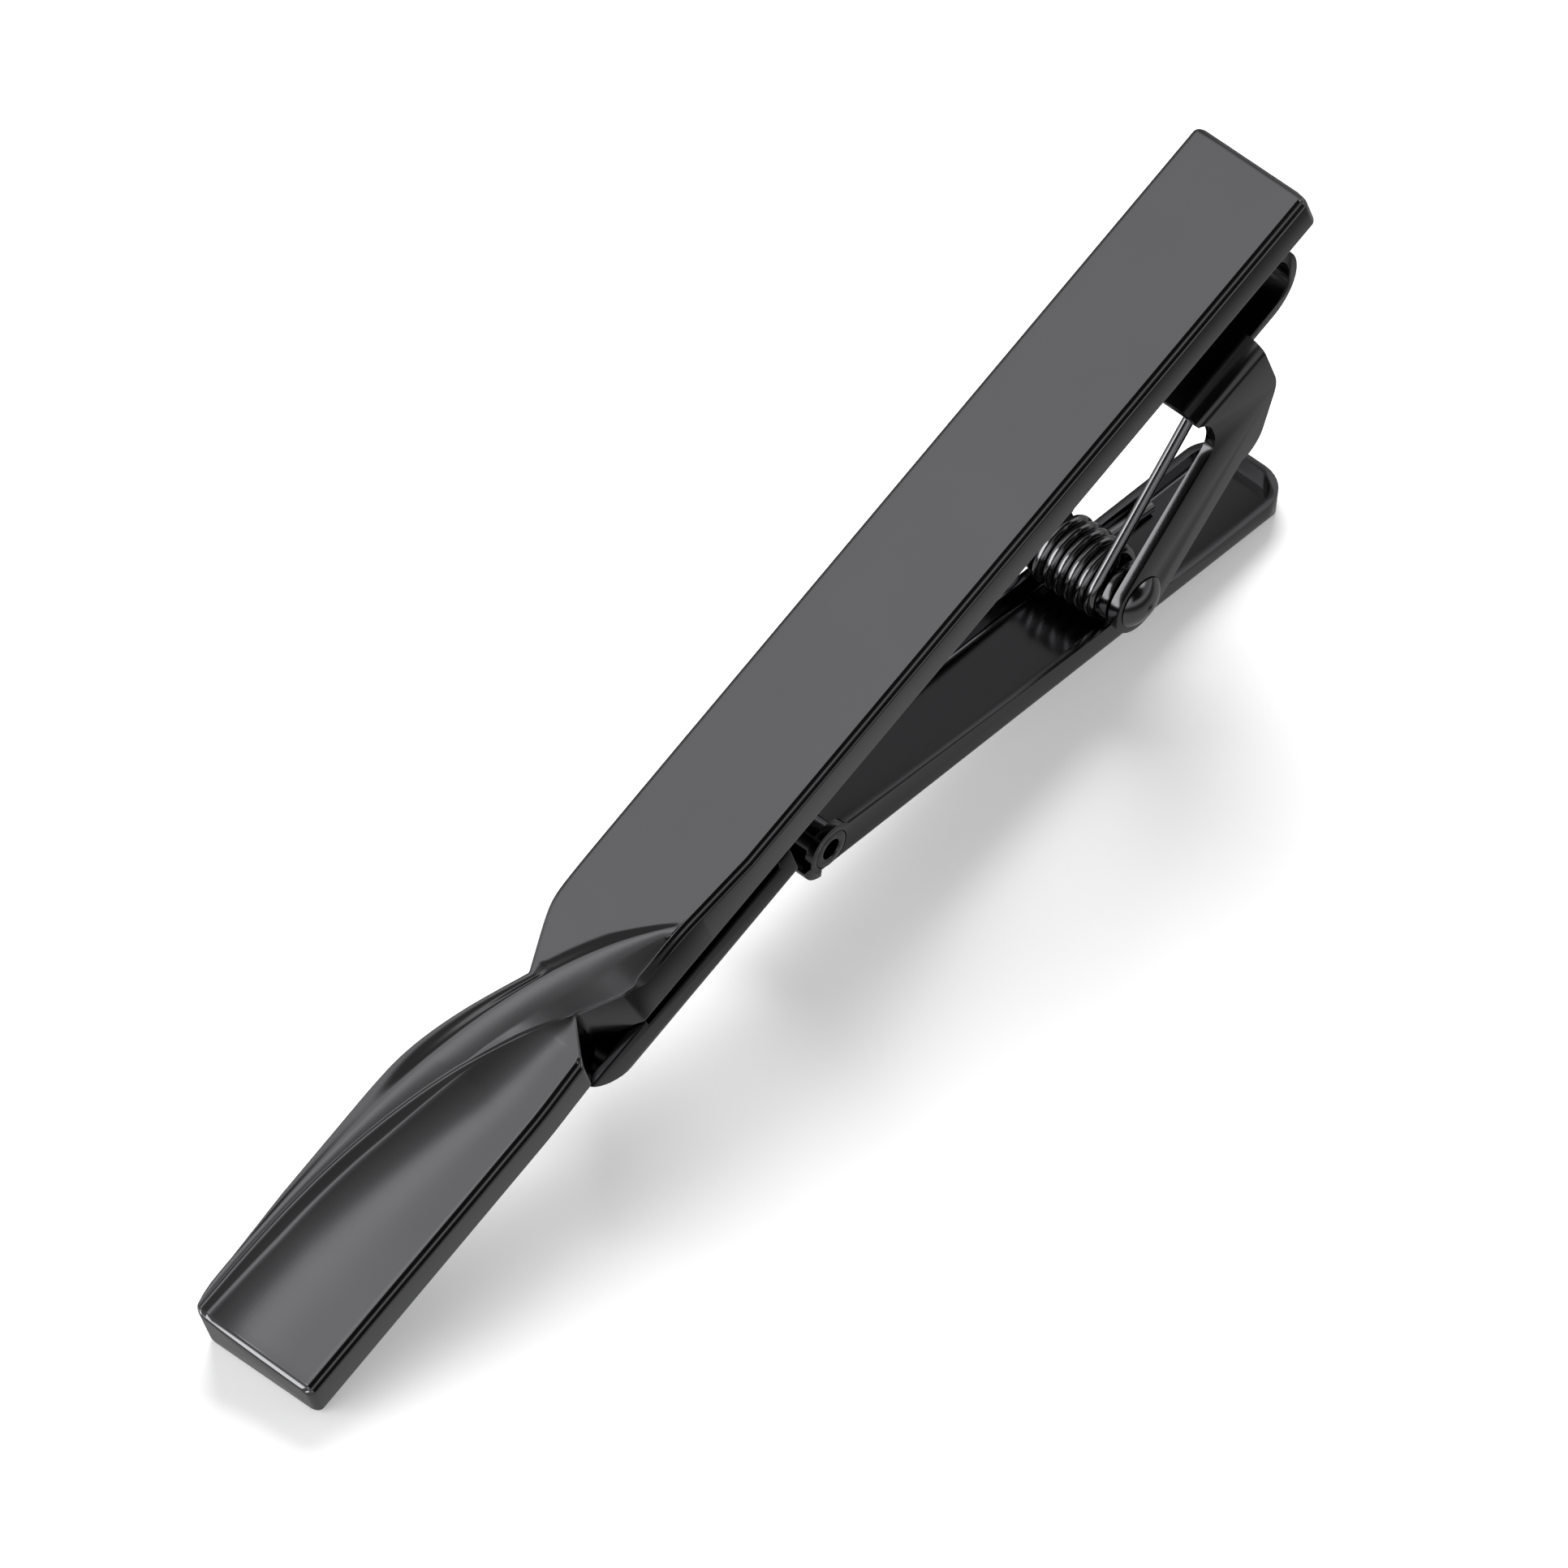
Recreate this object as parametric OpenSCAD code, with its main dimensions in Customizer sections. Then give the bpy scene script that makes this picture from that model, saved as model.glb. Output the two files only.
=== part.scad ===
// Tie clip: a twisted front bar with a sprung jaw on its back.
// X runs along the bar towards the spring end, Z points out of the front face,
// and the origin is the middle of the bar's flat back.

/* [Bar] */
// Length of the front bar
bar_l = 58.6; // [50:0.1:70]
// Width of the front bar
bar_w = 5.4; // [5:0.1:8]
// Thickness of the front bar, back to front face
bar_t = 1.9; // [1.4:0.1:2.6]
// Width of the stepped bead along the front face's long edges
bead_w = 0.3; // [0.15:0.01:0.4]
// Height of the rounding at the bar's two ends
end_round = 0.3; // [0.1:0.05:0.6]

/* [Twist] */
// Place of the waist where the bar twists, from the middle of the bar
twist_x = -11.3; // [-16:0.1:-8]
// How far the left notch cuts into the bar
notch_left = 1.3; // [0.6:0.05:1.6]
// How far the right notch cuts into the bar
notch_right = 1.5; // [0.6:0.05:1.7]
// Height of the ridge's crest over the front face, along the leaf's rim
ridge_h = 0.6; // [0.3:0.05:0.7]
// Depth of the crease below the crest, where the leaf's scoop starts
crease_d = 0.12; // [0.05:0.01:0.2]
// Depth of the leaf's right edge below the front face
leaf_drop = 0.12; // [0:0.02:0.2]
// How far the leaf's left rim flares past the bar's side
rim_flare = 0.3; // [0:0.05:0.5]

/* [Strap] */
// Length of the hollow strap behind the twist
strap_l = 12; // [9:0.5:14]
// Gap between the strap's end nearest the jaw and the twist's waist
strap_lead = 9.6; // [7:0.1:11]
// Depth of the strap behind the bar
strap_d = 1.9; // [1.4:0.1:2.4]
// Sheet thickness of the strap
strap_wall = 0.35; // [0.25:0.05:0.5]
// Width of the slot between the strap's sides and the bar
strap_slot = 0.42; // [0.2:0.02:0.5]

/* [Bracket] */
// Sheet thickness of the spring bracket
sheet = 0.45; // [0.3:0.05:0.6]
// Distance of the bracket's plate behind the bar's back, to its far face
plate_drop = 3.7; // [3.2:0.1:4.4]
// How far the bracket's bend stops short of the bar's end
bend_inset = 1.15; // [0.6:0.05:3]
// Length of the bracket's soldered foot
foot_l = 5; // [3:0.5:8]
// Width of the bracket's foot and bend
foot_w = 4.2; // [3:0.1:4.6]
// Length of the plate between its front edge and the bend's centre
plate_l = 5.1; // [4:0.1:6]
// Outer radius of the folds from the plate to its two ears
fold_r = 0.9; // [0.6:0.05:1.2]

/* [Pivot] */
// Distance of the pivot from the spring end of the bar
pivot_inset = 13.3; // [12:0.1:15]
// Distance of the pivot behind the bar's back
pivot_drop = 9.7; // [9:0.1:10.5]
// Radius of the pivot pin
pin_r = 0.5; // [0.4:0.02:0.6]
// Radius of the pin's two domed heads
head_r = 1.1; // [0.8:0.05:1.2]
// Height of the pin's domed heads
head_h = 0.45; // [0.25:0.01:0.6]
// Clearance of the pin in the jaw, on the radius
run_gap = 0.05; // [0.02:0.01:0.08]
// Clearance of the pin in the bracket's ears, on the radius
seat_gap = 0.02; // [0.01:0.005:0.05]
// Side gap between the jaw and each ear
side_gap = 0.15; // [0.05:0.01:0.2]

/* [Jaw] */
// Outer width of the jaw
jaw_w = 4.1; // [3.9:0.05:4.3]
// Sheet thickness of the jaw
jaw_sheet = 0.32; // [0.25:0.01:0.35]
// Length of the jaw from the pivot to the roll at its tip
jaw_reach = 16.7; // [14:0.1:18]
// Length of the jaw from the pivot to the thumb end
thumb_l = 9.7; // [8:0.1:11]
// Angle of the jaw to the bar as the clip lies at rest
jaw_angle = 24; // [20:0.5:26]
// Depth of the jaw's floor below the pivot
floor_drop = 2.45; // [2.2:0.05:2.6]
// Radius of the bend between the jaw's floor and its sides
jaw_bend = 0.5; // [0.4:0.05:0.8]
// Outer radius of the round lobes at the jaw's tip
tip_r = 1.15; // [0.95:0.05:1.2]
// Outer radius of the hollow roll through the tip
roll_r = 0.82; // [0.7:0.02:0.86]
// Bore radius of the hollow roll
roll_bore = 0.44; // [0.3:0.02:0.6]

/* [Spring] */
// Wire radius of the torsion spring
wire_r = 0.2; // [0.16:0.01:0.22]
// Radius of the coil, to the middle of the wire
coil_r = 1.3; // [1.1:0.05:1.4]
// Whole turns of the coil
coil_turns = 3; // [1:1:3]
// Distance from one turn to the next along the pin
coil_pitch = 0.85; // [0.82:0.01:0.86]
// Length of the leg that presses on the jaw's floor
leg_down_l = 5.6; // [4:0.1:6.5]

/* [Hidden] */
$fn = 48;
eps = 0.01;

half_w = bar_w / 2;
gunmetal = [0.24, 0.24, 0.26];
pivot = [bar_l / 2 - pivot_inset, 0, -pivot_drop];
pin_z = -pivot_drop;
ear_in = jaw_w / 2 + side_gap;
ear_out = ear_in + sheet;

// Shaping functions, from 0 to 1 along a stretch
function ramp(x, x0, x1) = max(0, min(1, (x - x0) / (x1 - x0)));
function ease(u) = u * u * (3 - 2 * u);
function mix(a, b, u) = a + (b - a) * u;

// Plan of the bar: the feature curves that cross the twist, as y at a place x.
// Each is given from the waist, and the leaf lies on its -X side.
ridge_from = 4.5;
lead_l = 2.5;
vertex_l = -0.25;
trail_l = 7.75;
lead_r = 2;
vertex_r = -0.6;
trail_r = -2;
lean_from = 8.3;
lean_to = 3.3;
wall_lean = 0.28;

function left_cut(dx) =
  dx > vertex_l
    ? notch_left * (1 - ramp(dx, vertex_l, lead_l))
    : notch_left - (notch_left + rim_flare) * sin(90 * ramp(-dx, -vertex_l, trail_l));
function right_cut(dx) = notch_right * (1 - ramp(dx, vertex_r, lead_r)) * (1 - ramp(-dx, -vertex_r, -trail_r));
// The right wall leans in at its top as it nears the notch
function lean(dx) = wall_lean * ease(ramp(-dx, -lean_from, -lean_to)) * (1 - ease(ramp(-dx, -vertex_r, -trail_r)));
function side_left(dx) = half_w - left_cut(dx);
function leaf_flare(dx) = rim_flare / 3 * ease(ramp(-dx, 1.5, 5));
function side_right(dx) = -half_w + max(lean(dx), right_cut(dx)) - leaf_flare(dx);
function foot_right(dx) = -half_w + max(0, right_cut(dx) - lean(dx)) - leaf_flare(dx);

// The crest leaves the right edge, crosses the waist and runs down the left rim
function arch(dx, x0, x1, power) = 1 - pow(1 - ramp(-dx, -x0, -x1), power);
function crest_y(dx) = -0.9 * half_w + 1.94 * half_w * arch(dx, ridge_from, -16, 3);
function crease_y(dx) = -0.7 * half_w + 1.63 * half_w * arch(dx, 0.6, -18, 2.7);
function fold_y(dx) = crest_y(dx) - mix(0.25, 1.2, ramp(-dx, -3.8, 2.7));
function foot_y(dx) = crest_y(dx) + mix(0.4, 1.35, ramp(-dx, -ridge_from, 0));

// Heights of those curves over the bar's back
function rise(dx) = ridge_h * pow(ramp(-dx, -ridge_from, 5), 0.7);
function crest_z(dx) = bar_t + rise(dx);
function fold_z(dx) = crest_z(dx) - crease_d * mix(0.4, 0.8, ramp(-dx, -3.8, 2.7));
function right_z(dx) = bar_t - leaf_drop * ease(ramp(-dx, -5, -2));
function crease_z(dx) = mix(right_z(dx), crest_z(dx) - crease_d, ease(ramp(-dx, -1.2, 3.6)));
function left_z(dx) = bar_t + (ridge_h - 0.12) * ease(ramp(-dx, 0, 8));

// One section of the bar: its front profile from left to right, then its bead,
// walls and back, always with the same number of points
steps_flank = 6;
steps_crest = 3;
steps_slope = 2;
steps_scoop = 9;
least = 0.05;

function stretch_points(a, b, n, shape) =
  [for (i = [1:n]) let (u = i / n) [mix(a[0], b[0], u), mix(a[1], b[1], shape[i - 1])]];
function soft(n) = [for (i = [1:n]) ease(i / n)];
function dome(n) = [for (i = [1:n]) pow(i / n, 2)];
function even(n) = [for (i = [1:n]) i / n];
function scoop(n) = [for (i = [1:n]) 2.3 * i / n - 1.3 * pow(i / n, 2)];

function bead_right(dx) = bead_w * mix(1, 0.2, ease(ramp(right_cut(dx), 0.3, 0.6)));
function front_profile(dx) =
  let (
    yl = side_left(dx) - bead_w,
    yr = side_right(dx) + bead_right(dx),
    yc = min(yl - 4 * least, max(yr + least, crease_y(dx))),
    yf = min(yl - 3 * least, max(yc + least, fold_y(dx))),
    yg = min(yl - 2 * least, max(yf + least, crest_y(dx))),
    yv = min(yl - least, max(yg + least, foot_y(dx))),
    left = [yl, left_z(dx)],
    foot = [yv, left_z(dx)],
    crest = [yg, crest_z(dx)],
    fold = [yf, fold_z(dx)],
    crease = [yc, crease_z(dx)],
    right = [yr, right_z(dx)]
  )
  concat(
    [left, foot],
    stretch_points(foot, crest, steps_flank, soft(steps_flank)),
    stretch_points(crest, fold, steps_crest, dome(steps_crest)),
    stretch_points(fold, crease, steps_slope, even(steps_slope)),
    stretch_points(crease, right, steps_scoop, scoop(steps_scoop))
  );

// The bead is a short slope, a narrow flat that catches light, and a second slope
bead = [[0.38, 0.4], [0.66, 0.44], [0.96, 0.84], [1, 1.1]];
foot_round = 0.12;

function section(x, drop) =
  let (
    dx = x - twist_x,
    front = front_profile(dx),
    n = len(front),
    yl = front[0][0],
    yr = front[n - 1][0],
    zl = front[0][1],
    zr = front[n - 1][1],
    br = bead_right(dx),
    yb = foot_right(dx),
    ring = concat(
      front,
      [for (b = bead) [yr - br * b[0], zr - br * b[1]]],
      [[yb, foot_round], [yb + foot_round, 0]],
      [[yl + bead_w - foot_round, 0], [yl + bead_w, foot_round]],
      [for (i = [3:-1:0]) [yl + bead_w * bead[i][0], zl - bead_w * bead[i][1]]]
    )
  )
  [for (p = ring) [x, p[0] * (1 - drop * 0.12), mix(p[1], bar_t / 2, drop * 0.1)]];

// Where the strap and the bracket's foot lie along the bar's back
strap_x1 = twist_x + strap_lead;
strap_x0 = strap_x1 - strap_l;
bend_ro = plate_drop / 2;
bend_x = bar_l / 2 - bend_inset - bend_ro;
foot_x0 = bend_x - foot_l;

// Stations are close over the twist and wide where the bar is straight. Two of
// them bound the bare back between the strap and the bracket's foot.
back_clear = 0.4;
x_end = bar_l / 2;
end_steps = 4;
twist_from = 5;
twist_to = -9.5;
twist_steps = 36;
leaf_steps = 10;
stations = concat(
  [for (i = [0:end_steps - 1]) let (a = 90 * i / end_steps) [x_end - end_round * (1 - cos(a)), 1 - sin(a)]],
  [for (x = [x_end - end_round, foot_x0 - back_clear, strap_x1 + back_clear, twist_x + twist_from]) [x, 0]],
  [for (i = [1:twist_steps]) [twist_x + mix(twist_from, twist_to, i / twist_steps), 0]],
  [for (i = [1:leaf_steps]) [mix(twist_x + twist_to, -x_end + end_round, i / leaf_steps), 0]],
  [for (i = [end_steps - 1:-1:0]) let (a = 90 * i / end_steps) [-x_end + end_round * (1 - cos(a)), 1 - sin(a)]]
);

// Middle of the box round a ring of points
function ring_centre(ring) =
  [for (k = [0:2]) let (v = [for (p = ring) p[k]]) (min(v) + max(v)) / 2];

// A closed skin over rings of points that all have the same count
module skin(rings) {
  n = len(rings[0]);
  m = len(rings);
  points = concat([for (r = rings) for (p = r) p], [ring_centre(rings[0]), ring_centre(rings[m - 1])]);
  side_faces = [
    for (j = [0:m - 2])
      for (i = [0:n - 1])
        let (a = j * n + i, b = j * n + (i + 1) % n)
          each [[a, b, a + n], [b, b + n, a + n]]
  ];
  first_cap = [for (i = [0:n - 1]) [(i + 1) % n, i, m * n]];
  last_cap = [for (i = [0:n - 1]) [(m - 1) * n + i, (m - 1) * n + (i + 1) % n, m * n + 1]];
  polyhedron(points, concat(side_faces, first_cap, last_cap), convexity = 6);
}

module front_bar() {
  color(gunmetal)
    skin([for (s = stations) section(s[0], s[1])]);
}

// Draws a side view, given in X and Z, across the part's width
module across(width) {
  rotate([90, 0, 0])
    translate([0, 0, -width / 2])
      linear_extrude(width)
        children();
}

// Strap: a shallow hollow boat soldered under the twist, slotted along its sides
toe_r = 3.4;
heel_r = 0.5;

module strap_side(inset) {
  intersection() {
    translate([strap_x0 + inset, -strap_d + inset])
      square([strap_l - 2 * inset, strap_d]);
    union() {
      translate([strap_x0 + toe_r, -strap_d + inset])
        square([strap_l - toe_r - heel_r, strap_d]);
      translate([strap_x1 - heel_r - eps, -strap_d + heel_r])
        square([heel_r + eps, strap_d]);
      translate([strap_x1 - heel_r, -strap_d + heel_r])
        circle(heel_r - inset);
      translate([strap_x0 + toe_r, -strap_d + toe_r])
        circle(toe_r - inset, $fn = 96);
    }
  }
}

// Plan of the strap: the corner under the left notch is cut off, so it stays hidden
module strap_plan(inset) {
  cut_x = 4.6;
  cut_y = 1.3;
  slant = 0.45 * inset;
  polygon([
    [strap_x1 - inset, -half_w + inset],
    [strap_x1 - inset, half_w - inset],
    [strap_x0 + cut_x + slant, half_w - inset],
    [strap_x0 + inset, -cut_y - slant],
    [strap_x0 + inset, -half_w + inset]
  ]);
}

module back_strap() {
  slot_from = 0.7;
  slot_to = 3.6;
  color(gunmetal)
    difference() {
      intersection() {
        across(bar_w)
          strap_side(0);
        translate([strap_x0, 0, 0])
          rotate([90, 0, 90])
            linear_extrude(strap_l)
              boat_outline();
        translate([0, 0, -strap_d])
          linear_extrude(strap_d)
            strap_plan(0);
      }
      intersection() {
        across(bar_w)
          strap_side(strap_wall);
        translate([0, 0, -strap_d])
          linear_extrude(2 * strap_d)
            strap_plan(strap_wall);
      }
      translate([strap_x0 + slot_to, -bar_w, -strap_slot])
        cube([strap_l - slot_from - slot_to, 2 * bar_w, 1]);
    }
}

// Cross-section of the strap, with its two lower corners rounded
module boat_outline() {
  corner = 0.45;
  translate([-half_w, -strap_d + corner])
    square([bar_w, strap_d - corner]);
  translate([-half_w + corner, -strap_d])
    square([bar_w - 2 * corner, strap_d]);
  for (side = [-1, 1])
    translate([side * (half_w - corner), -strap_d + corner])
      circle(corner);
}

// Bracket: a soldered foot, a round bend at the bar's end, a plate, and two ears
plate_x0 = bend_x - plate_l;
ear_x1 = bend_x - 1.25;

module bend_side() {
  difference() {
    translate([bend_x, -bend_ro])
      circle(bend_ro, $fn = 72);
    translate([bend_x, -bend_ro])
      circle(bend_ro - sheet, $fn = 72);
    translate([bend_x - 2 * bend_ro, -2 * bend_ro - 1])
      square([2 * bend_ro, 2 * bend_ro + 2]);
  }
  translate([foot_x0, -sheet])
    square([foot_l, sheet]);
  translate([ear_x1 - eps, -plate_drop])
    square([bend_x - ear_x1 + eps, sheet]);
}

// Outline of one ear with its arm, in X and Z. The arm is a band from the elbow to
// the pivot, and a round bite that touches its upper edge forms the ear's front.
arm_r = head_r + 0.25;
ear_depth = 2.3;
elbow = [plate_x0 + arm_r, -plate_drop - ear_depth - 1];
arm_l = norm([elbow[0] - pivot[0], elbow[1] - pin_z]);
arm_way = [pivot[0] - elbow[0], pin_z - elbow[1]] / arm_l;
arm_up = [arm_way[1], -arm_way[0]];
bite_r = 1.1;
bite_in = 0.5;
bite_x = plate_x0 + bite_in - bite_r;
bite_far = (elbow[0] + (arm_r + bite_r) * arm_up[0] - bite_x) / -arm_way[0];
bite_z = elbow[1] + (arm_r + bite_r - eps) * arm_up[1] + bite_far * arm_way[1];

module ear_side() {
  difference() {
    union() {
      translate([plate_x0, -plate_drop - ear_depth])
        square([ear_x1 - plate_x0, ear_depth + sheet]);
      translate([bite_x + bite_r * abs(arm_up[0]), elbow[1]])
        square([plate_x0 - bite_x, bite_z - elbow[1] - bite_r / 2]);
      hull() {
        translate([ear_x1 - 1.4, -plate_drop - ear_depth])
          circle(1.4);
        translate([plate_x0 + 0.9, -plate_drop - ear_depth - 0.2])
          circle(0.9);
        translate([ear_x1 - 2.4, -plate_drop - ear_depth - 1.2])
          circle(1.4);
      }
      hull() {
        translate(elbow)
          circle(arm_r);
        translate([pivot[0], pin_z])
          circle(arm_r);
      }
    }
    hull() {
      translate([bite_x, bite_z])
        circle(bite_r);
      translate([bite_x, -plate_drop - bite_r + eps])
        circle(bite_r);
    }
  }
}

// Cross-section of the plate with its two ears folded down
module fold_outline(half, radius, bottom) {
  translate([-half, bottom])
    square([2 * half, -plate_drop + sheet - radius - bottom]);
  translate([-half + radius, bottom])
    square([2 * (half - radius), -plate_drop + sheet - bottom]);
  for (side = [-1, 1])
    translate([side * (half - radius), -plate_drop + sheet - radius])
      circle(radius);
}

module folded_plate() {
  low = pin_z - 2 * arm_r;
  rotate([90, 0, 90])
    linear_extrude(bar_l / 2)
      difference() {
        fold_outline(ear_out, fold_r, low);
        translate([0, -sheet])
          fold_outline(ear_in, fold_r - sheet, low - 1);
      }
}

module spring_bracket() {
  color(gunmetal)
    difference() {
      union() {
        across(foot_w)
          bend_side();
        intersection() {
          folded_plate();
          across(2 * ear_out + 1)
            ear_side();
        }
      }
      translate(pivot)
        rotate([90, 0, 0])
          cylinder(h = 3 * bar_w, r = pin_r + seat_gap, center = true);
    }
}

// Pin: a plain shank with a domed head against each ear
module pin_head() {
  dome_r = (head_r * head_r + head_h * head_h) / (2 * head_h);
  rotate_extrude()
    intersection() {
      translate([0, head_h - dome_r])
        circle(dome_r, $fn = 120);
      square([head_r, head_h]);
    }
}

module pivot_pin() {
  grip = ear_out + seat_gap;
  color(gunmetal)
    translate(pivot)
      for (side = [-1, 1])
        rotate([-90 * side, 0, 0]) {
          cylinder(h = grip + eps, r = pin_r);
          translate([0, 0, grip])
            pin_head();
        }
}

// Jaw: a tapered tray, drawn flat about the pivot and then swung to its angle
rim_tip = -0.4;
rim_mid = -1.05;
rim_thumb = 1.1 - floor_drop;
thumb_lift = 0.25;
lobe_r = 1.3;
tip_w = -floor_drop + tip_r - 0.03;
plan_r = 1.5;

module swung() {
  translate(pivot)
    rotate([0, jaw_angle, 0])
      children();
}

// Side view of the jaw: sloping rims, a lobe at the pivot and one at the tip
module jaw_side() {
  polygon([
    [-jaw_reach, -floor_drop - 1],
    [thumb_l - 1.4, -floor_drop - 1],
    [thumb_l - 1.4, -floor_drop - 2 * eps],
    [thumb_l, -floor_drop + thumb_lift],
    [thumb_l, rim_thumb],
    [3, rim_thumb],
    [1.2, rim_mid],
    [-2, rim_mid],
    [-jaw_reach, rim_tip - 0.15]
  ]);
  circle(lobe_r);
  translate([-jaw_reach, tip_w])
    circle(tip_r);
}

module jaw_plan(inset) {
  long = jaw_reach + tip_r + thumb_l;
  wide = jaw_w - 2 * inset;
  translate([-jaw_reach - tip_r, -wide / 2])
    square([long - plan_r, wide]);
  translate([thumb_l - plan_r - 1, -wide / 2 + plan_r - inset])
    square([plan_r + 1 - inset, wide - 2 * (plan_r - inset)]);
  for (side = [-1, 1])
    translate([thumb_l - plan_r, side * (jaw_w / 2 - plan_r)])
      circle(plan_r - inset);
}

module tray_outline(inset) {
  wide = jaw_w - 2 * inset;
  r = jaw_bend - inset;
  top = floor_drop + 2 * lobe_r;
  translate([-wide / 2, -floor_drop + inset + r])
    square([wide, top - r]);
  translate([-wide / 2 + r, -floor_drop + inset])
    square([wide - 2 * r, top]);
  for (side = [-1, 1])
    translate([side * (wide / 2 - r), -floor_drop + inset + r])
      circle(r);
}

module tray(inset) {
  long = jaw_reach + tip_r + thumb_l;
  intersection() {
    translate([-jaw_reach - tip_r, 0, 0])
      rotate([90, 0, 90])
        linear_extrude(long)
          tray_outline(inset);
    translate([0, 0, -floor_drop - 1])
      linear_extrude(floor_drop + 4)
        jaw_plan(inset);
  }
}

// The lip that curls up past the roll at the tip
module toe_lip() {
  lip_r = 1.2;
  lip_sheet = jaw_sheet;
  across(jaw_w)
    intersection() {
      translate([-jaw_reach - 0.35, -floor_drop + lip_r + 0.02])
        difference() {
          circle(lip_r);
          circle(lip_r - lip_sheet);
        }
      translate([-jaw_reach - 0.45 - lip_r, -floor_drop])
        square([lip_r, 0.75 * lip_r]);
    }
}

module jaw() {
  color(gunmetal)
    swung()
      difference() {
        union() {
          difference() {
            intersection() {
              tray(0);
              across(jaw_w + 1)
                jaw_side();
            }
            tray(jaw_sheet);
          }
          toe_lip();
        }
        rotate([90, 0, 0])
          cylinder(h = 2 * jaw_w, r = pin_r + run_gap, center = true);
        translate([-jaw_reach, 0, tip_w])
          rotate([90, 0, 0])
            cylinder(h = 2 * jaw_w, r = roll_r + seat_gap, center = true);
      }
}

// Roll: the hollow tube between the two lobes at the jaw's tip
module tip_roll() {
  color(gunmetal)
    swung()
      translate([-jaw_reach, 0, tip_w])
        rotate([90, 0, 0])
          difference() {
            cylinder(h = jaw_w, r = roll_r, center = true);
            cylinder(h = 2 * jaw_w, r = roll_bore, center = true);
          }
}

// Spring: one unbroken wire, with a leg up to the plate, a coil round the pin
// and a leg down to the jaw's floor. Angles are about the pin, from +X to +Z.
wire_sides = 6;
turn_rings = 8;
leg_gap = 0.1;
hook_x = ear_x1 - 0.3 - pivot[0];
hook_z = pivot_drop - plate_drop - wire_r - leg_gap;
leg_up_angle = atan2(hook_z, hook_x) - asin(coil_r / norm([hook_x, hook_z]));
leg_up_l = sqrt(hook_x * hook_x + hook_z * hook_z - coil_r * coil_r);
leg_down_angle = -jaw_angle - asin((floor_drop - jaw_sheet - wire_r - leg_gap - coil_r) / leg_down_l);
coil_start = leg_up_angle + 90;
coil_sweep = 360 * coil_turns + 180 - leg_up_angle + leg_down_angle;
coil_len = coil_pitch * coil_sweep / 360;
rings_total = ceil(turn_rings * coil_sweep / 360);

function on_coil(u) =
  let (angle = coil_start + coil_sweep * u)
  [
    pivot[0] + coil_r * cos(angle),
    mix(-coil_len / 2, coil_len / 2, u),
    pin_z + coil_r * sin(angle)
  ];
leg_up_dir = [cos(leg_up_angle), 0, sin(leg_up_angle)];
leg_down_dir = [cos(leg_down_angle), 0, sin(leg_down_angle)];
coil_path = [for (i = [0:rings_total]) on_coil(i / rings_total)];
wire_path = concat(
  [coil_path[0] + leg_up_l * leg_up_dir, coil_path[0] + 0.5 * leg_up_l * leg_up_dir],
  coil_path,
  [coil_path[rings_total] + 0.5 * leg_down_l * leg_down_dir, coil_path[rings_total] + leg_down_l * leg_down_dir]
);

function unit(v) = v / norm(v);
function tangent(path, i) = unit(path[min(i + 1, len(path) - 1)] - path[max(i - 1, 0)]);
function wire_ring(path, i) =
  let (
    t = tangent(path, i),
    across_axis = unit([0, 1, 0] - t[1] * t),
    out = cross(t, across_axis)
  )
  [
    for (k = [0:wire_sides - 1])
      let (a = 360 * k / wire_sides)
        path[i] + wire_r * (cos(a) * out + sin(a) * across_axis)
  ];

// Least gap between stretches of the wire that are over half a turn apart
apart = ceil(turn_rings / 2);
self_gap = min([
  for (i = [0:len(wire_path) - 1])
    for (j = [i + 1:1:len(wire_path) - 1])
      if (j - i > apart) norm(wire_path[i] - wire_path[j]) - 2 * wire_r
]);
echo(spring_least_gap = self_gap);

module torsion_spring() {
  color([0.3, 0.3, 0.32])
    skin([for (i = [0:len(wire_path) - 1]) wire_ring(wire_path, i)]);
}

front_bar();
back_strap();
spring_bracket();
pivot_pin();
torsion_spring();
jaw();
tip_roll();
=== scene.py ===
"""Tie clip: a twisted black chrome bar with a sprung jaw on its back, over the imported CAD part."""

import math

import bmesh
import bpy
import numpy as np
from mathutils import Matrix, Vector


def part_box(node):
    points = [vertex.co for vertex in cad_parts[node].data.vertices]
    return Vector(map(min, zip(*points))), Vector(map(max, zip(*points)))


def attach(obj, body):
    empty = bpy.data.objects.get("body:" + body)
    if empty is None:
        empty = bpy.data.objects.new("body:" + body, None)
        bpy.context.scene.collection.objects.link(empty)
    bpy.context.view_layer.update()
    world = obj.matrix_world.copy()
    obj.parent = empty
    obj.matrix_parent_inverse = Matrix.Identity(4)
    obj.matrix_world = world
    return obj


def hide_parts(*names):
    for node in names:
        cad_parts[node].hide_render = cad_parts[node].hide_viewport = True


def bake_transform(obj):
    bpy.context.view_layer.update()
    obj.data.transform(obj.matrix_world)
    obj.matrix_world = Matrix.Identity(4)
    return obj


bl_info = {
    "name": "Tie clip",
    "version": (1, 0, 0),
    "blender": (4, 5, 0),
    "location": "3D View > Sidebar > Tie clip",
    "description": "Builds a twisted tie clip with a sprung jaw, its finishes and its studio",
    "category": "Object",
}

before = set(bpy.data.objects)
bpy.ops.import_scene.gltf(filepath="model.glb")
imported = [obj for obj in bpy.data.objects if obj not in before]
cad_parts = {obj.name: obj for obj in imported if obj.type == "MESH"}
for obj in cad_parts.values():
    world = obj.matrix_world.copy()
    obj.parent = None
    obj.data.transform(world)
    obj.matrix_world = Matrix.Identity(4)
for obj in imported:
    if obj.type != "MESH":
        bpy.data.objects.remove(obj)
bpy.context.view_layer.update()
MM = 0.001


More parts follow.
